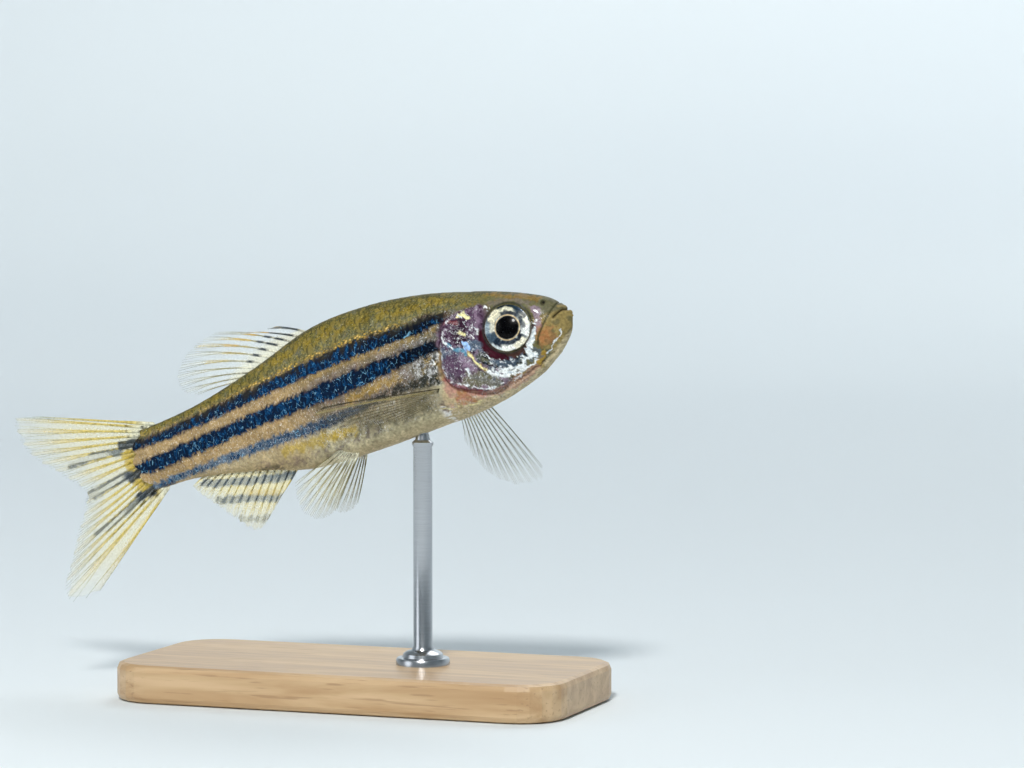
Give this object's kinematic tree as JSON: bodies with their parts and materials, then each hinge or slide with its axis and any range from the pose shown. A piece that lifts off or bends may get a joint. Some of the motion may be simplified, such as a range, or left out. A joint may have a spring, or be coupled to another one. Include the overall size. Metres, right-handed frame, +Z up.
{
  "type": "zebra danio",
  "caption": "Small striped freshwater fish as a still, life-size display model: slim body, forked tail, spread fins, held by a slim rod on a flat wooden base.",
  "frame": {"origin": "middle of the underside of the stand's base", "axes": "+Z up, +X along the fish towards its head, +Y to the fish's left"},
  "size_m": [0.0397, 0.014, 0.0259],
  "materials": {
    "skin": "glossy scaled skin: olive back, dark blue stripes, pinkish gold bands, pearly cheek and belly",
    "eye": "wet gloss, silver iris with a black pupil",
    "fin": "thin clear membrane between pale yellow and grey rays",
    "wood": "satin lacquered pale wood",
    "steel": "polished steel rod with a turned foot"
  },
  "bodies": {
    "root": {"head": "skin", "lower_jaw": "skin", "gill_cover_right": "skin", "gill_cover_left": "skin", "trunk": "skin", "tail": "skin", "eye_right": "eye", "eye_left": "eye", "fin_dorsal": "fin", "fin_anal": "fin", "fin_caudal": "fin", "fin_pectoral_right": "fin", "fin_pectoral_left": "fin", "fin_pelvic_right": "fin", "fin_pelvic_left": "fin", "stand_base": "wood", "stand_rod": "steel"}
  },
  "joints": []
}
